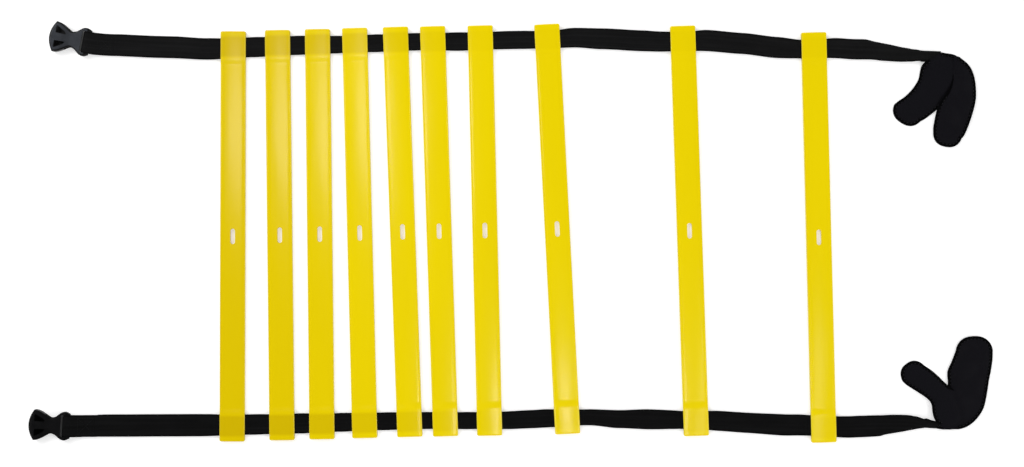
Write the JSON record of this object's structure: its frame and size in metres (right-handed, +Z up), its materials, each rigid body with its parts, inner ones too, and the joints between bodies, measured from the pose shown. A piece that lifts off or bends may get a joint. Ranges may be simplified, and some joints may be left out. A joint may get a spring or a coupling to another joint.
{
  "type": "agility ladder",
  "caption": "Agility ladder lying flat: yellow slotted plastic rungs that slide on two black webbing straps, with a side-release buckle socket and a pair of padded tabs on each strap.",
  "frame": {"origin": "on the ground under the middle of the ladder's box", "axes": "+X along the straps from the buckles to the padded tabs, +Y along the rungs from the lower strap to the upper one, +Z up"},
  "size_m": [1.1734, 0.5132, 0.015],
  "materials": {
    "yellow_plastic": "glossy moulded",
    "black_webbing": "woven",
    "black_plastic": "satin moulded",
    "black_padding": "padded cloth",
    "black_hooks": "hook tape"
  },
  "bodies": {
    "webbing": {"upper_strap": "black_webbing", "lower_strap": "black_webbing"},
    "rung_1": {"rung_1": "yellow_plastic"},
    "rung_2": {"rung_2": "yellow_plastic"},
    "rung_3": {"rung_3": "yellow_plastic"},
    "rung_4": {"rung_4": "yellow_plastic"},
    "rung_5": {"rung_5": "yellow_plastic"},
    "rung_6": {"rung_6": "yellow_plastic"},
    "rung_7": {"rung_7": "yellow_plastic"},
    "rung_8": {"rung_8": "yellow_plastic"},
    "rung_9": {"rung_9": "yellow_plastic"},
    "rung_10": {"rung_10": "yellow_plastic"},
    "upper_buckle": {"upper_buckle": "black_plastic"},
    "lower_buckle": {"lower_buckle": "black_plastic"},
    "upper_loop_tab": {"upper_loop_tab": "black_padding"},
    "upper_hook_tab": {"upper_hook_tab": "black_padding", "upper_hook_patch": "black_hooks"},
    "lower_hook_tab": {"lower_hook_tab": "black_padding", "lower_hook_patch": "black_hooks"},
    "lower_loop_tab": {"lower_loop_tab": "black_padding"}
  },
  "joints": [
    {"name": "rung_1_slide", "type": "slide", "parent": "webbing", "child": "rung_1", "axis": [1, 0, 0], "range_m": [-0.128, 0.0225]},
    {"name": "rung_2_slide", "type": "slide", "parent": "webbing", "child": "rung_2", "axis": [0.9997, 0.0244, 0], "range_m": [-0.0225, 0.0175]},
    {"name": "rung_3_slide", "type": "slide", "parent": "webbing", "child": "rung_3", "axis": [0.9996, 0.0279, 0], "range_m": [-0.0175, 0.014]},
    {"name": "rung_4_slide", "type": "slide", "parent": "webbing", "child": "rung_4", "axis": [0.9996, 0.0297, 0], "range_m": [-0.014, 0.0185]},
    {"name": "rung_5_slide", "type": "slide", "parent": "webbing", "child": "rung_5", "axis": [0.9998, 0.0209, 0], "range_m": [-0.0185, 0.012]},
    {"name": "rung_6_slide", "type": "slide", "parent": "webbing", "child": "rung_6", "axis": [0.9999, 0.014, 0], "range_m": [-0.012, 0.0225]},
    {"name": "rung_7_slide", "type": "slide", "parent": "webbing", "child": "rung_7", "axis": [0.9999, 0.0105, 0], "range_m": [-0.0225, 0.0495]},
    {"name": "rung_8_slide", "type": "slide", "parent": "webbing", "child": "rung_8", "axis": [1, -0.0052, 0], "range_m": [-0.05, 0.1255]},
    {"name": "rung_9_slide", "type": "slide", "parent": "webbing", "child": "rung_9", "axis": [0.9988, -0.0488, 0], "range_m": [-0.0555, 0.124]},
    {"name": "rung_10_slide", "type": "slide", "parent": "webbing", "child": "rung_10", "axis": [0.999, -0.0454, 0], "range_m": [-0.124, 0.043]},
    {"name": "upper_buckle_hinge", "type": "hinge", "parent": "webbing", "child": "upper_buckle", "pos_m": [-0.51797, 0.23118, 0.0055], "axis": [0.1908, 0.9816, 0], "range_deg": [0, 100]},
    {"name": "lower_buckle_hinge", "type": "hinge", "parent": "webbing", "child": "lower_buckle", "pos_m": [-0.54255, -0.23617, 0.0055], "axis": [0.0523, 0.9986, 0], "range_deg": [0, 100]},
    {"name": "upper_tab_hinge", "type": "hinge", "parent": "webbing", "child": "upper_loop_tab", "pos_m": [0.50708, 0.22153, 0.0027], "axis": [-0.9988, 0.0484, 0], "range_deg": [0, 90]},
    {"name": "upper_hook_hinge", "type": "hinge", "parent": "upper_loop_tab", "child": "upper_hook_tab", "pos_m": [0.54598, 0.21513, 0.0029], "axis": [-0.6594, 0.7518, 0], "range_deg": [0, 75]},
    {"name": "lower_tab_hinge", "type": "hinge", "parent": "webbing", "child": "lower_hook_tab", "pos_m": [0.51623, -0.24127, 0.0027], "axis": [0.9995, -0.0325, 0], "range_deg": [0, 90]},
    {"name": "lower_loop_hinge", "type": "hinge", "parent": "lower_hook_tab", "child": "lower_loop_tab", "pos_m": [0.52782, -0.24082, 0.0042], "axis": [1, 0, 0], "range_deg": [0, 75]}
  ]
}
